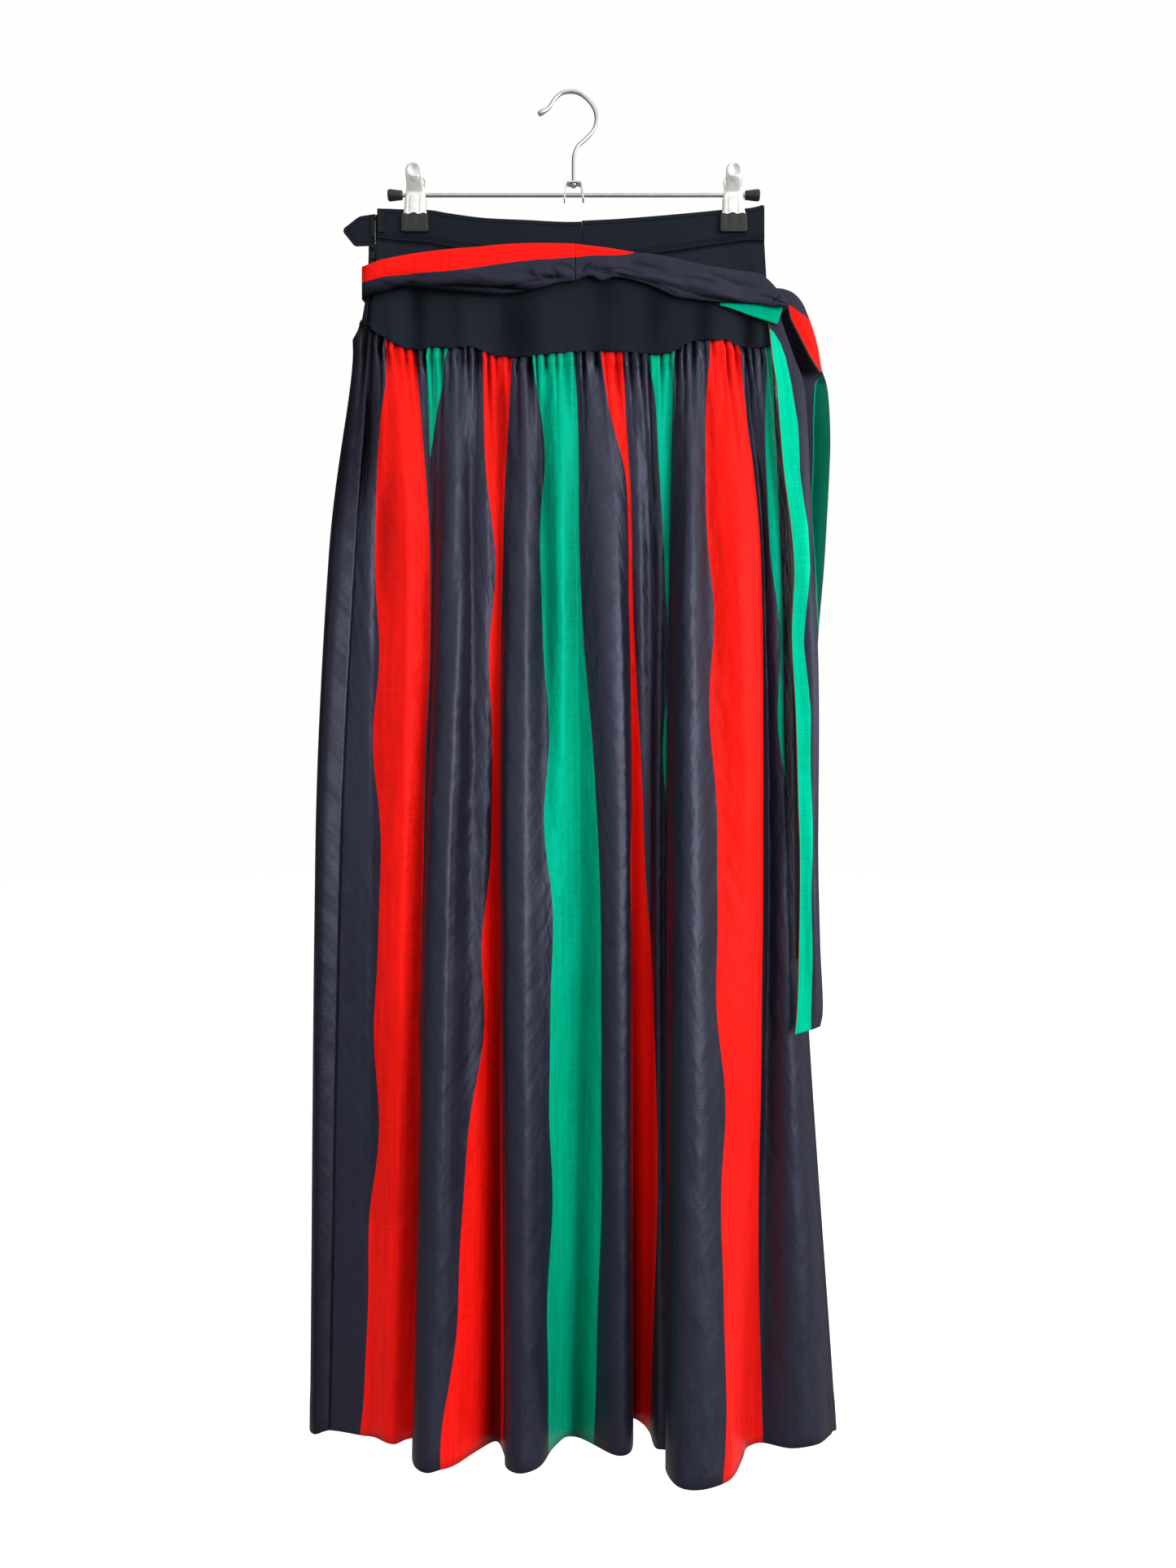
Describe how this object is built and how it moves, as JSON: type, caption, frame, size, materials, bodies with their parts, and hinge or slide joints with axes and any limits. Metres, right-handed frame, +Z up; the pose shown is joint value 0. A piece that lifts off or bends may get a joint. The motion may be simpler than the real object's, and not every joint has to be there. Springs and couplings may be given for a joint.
{
  "type": "long gathered skirt with tie sash on a two-clip hanger, hung from the hanger's hook",
  "caption": "Full-length gathered skirt in wavy navy, red and green stripes with a dark hip yoke and tie sash, clipped to a steel hanger.",
  "frame": {"origin": "inside top of the hanger hook's crook, where it rests on a rail or wall hook", "axes": "+Z up, +X towards the sash's knot (the viewer's right), -Y towards the viewer; the long way is Z and the shallow way is Y"},
  "size_m": [0.4413, 0.1331, 1.1202],
  "materials": {
    "navy_band": "matte",
    "yoke_black": "matte",
    "navy_satin": "soft sheen",
    "sash_navy": "soft sheen",
    "tail_green": "soft sheen",
    "tail_navy": "soft sheen",
    "zip_black": "matte",
    "dull_metal": "dull",
    "bright_steel": "polished",
    "black_rubber": "matte"
  },
  "bodies": {
    "root": {"skirt_front": "navy_satin", "skirt_back": "navy_satin", "yoke_front": "yoke_black", "yoke_back": "yoke_black", "waistband_front_left": "navy_band", "waistband_front_right": "navy_band", "waistband_back": "navy_band", "waist_tab": "navy_band", "fastener_plate": "dull_metal", "fastener_bar": "dull_metal", "zip_tape": "zip_black", "zip_slider": "dull_metal", "zip_pull": "dull_metal", "zip_stop": "dull_metal", "sash_front_left": "sash_navy", "sash_front_right": "sash_navy", "sash_back": "sash_navy", "sash_under": "tail_green", "sash_knot": "sash_navy", "tail_front": "tail_green", "tail_rear": "tail_navy", "hanger_hook": "bright_steel", "hanger_stirrup": "bright_steel", "hanger_bar": "bright_steel", "cap_left": "black_rubber", "cap_right": "black_rubber", "clip_left_front_jaw": "bright_steel", "clip_left_back_jaw": "bright_steel", "clip_left_front_pad": "black_rubber", "clip_left_back_pad": "black_rubber", "clip_right_front_jaw": "bright_steel", "clip_right_back_jaw": "bright_steel", "clip_right_front_pad": "black_rubber", "clip_right_back_pad": "black_rubber"}
  },
  "joints": []
}
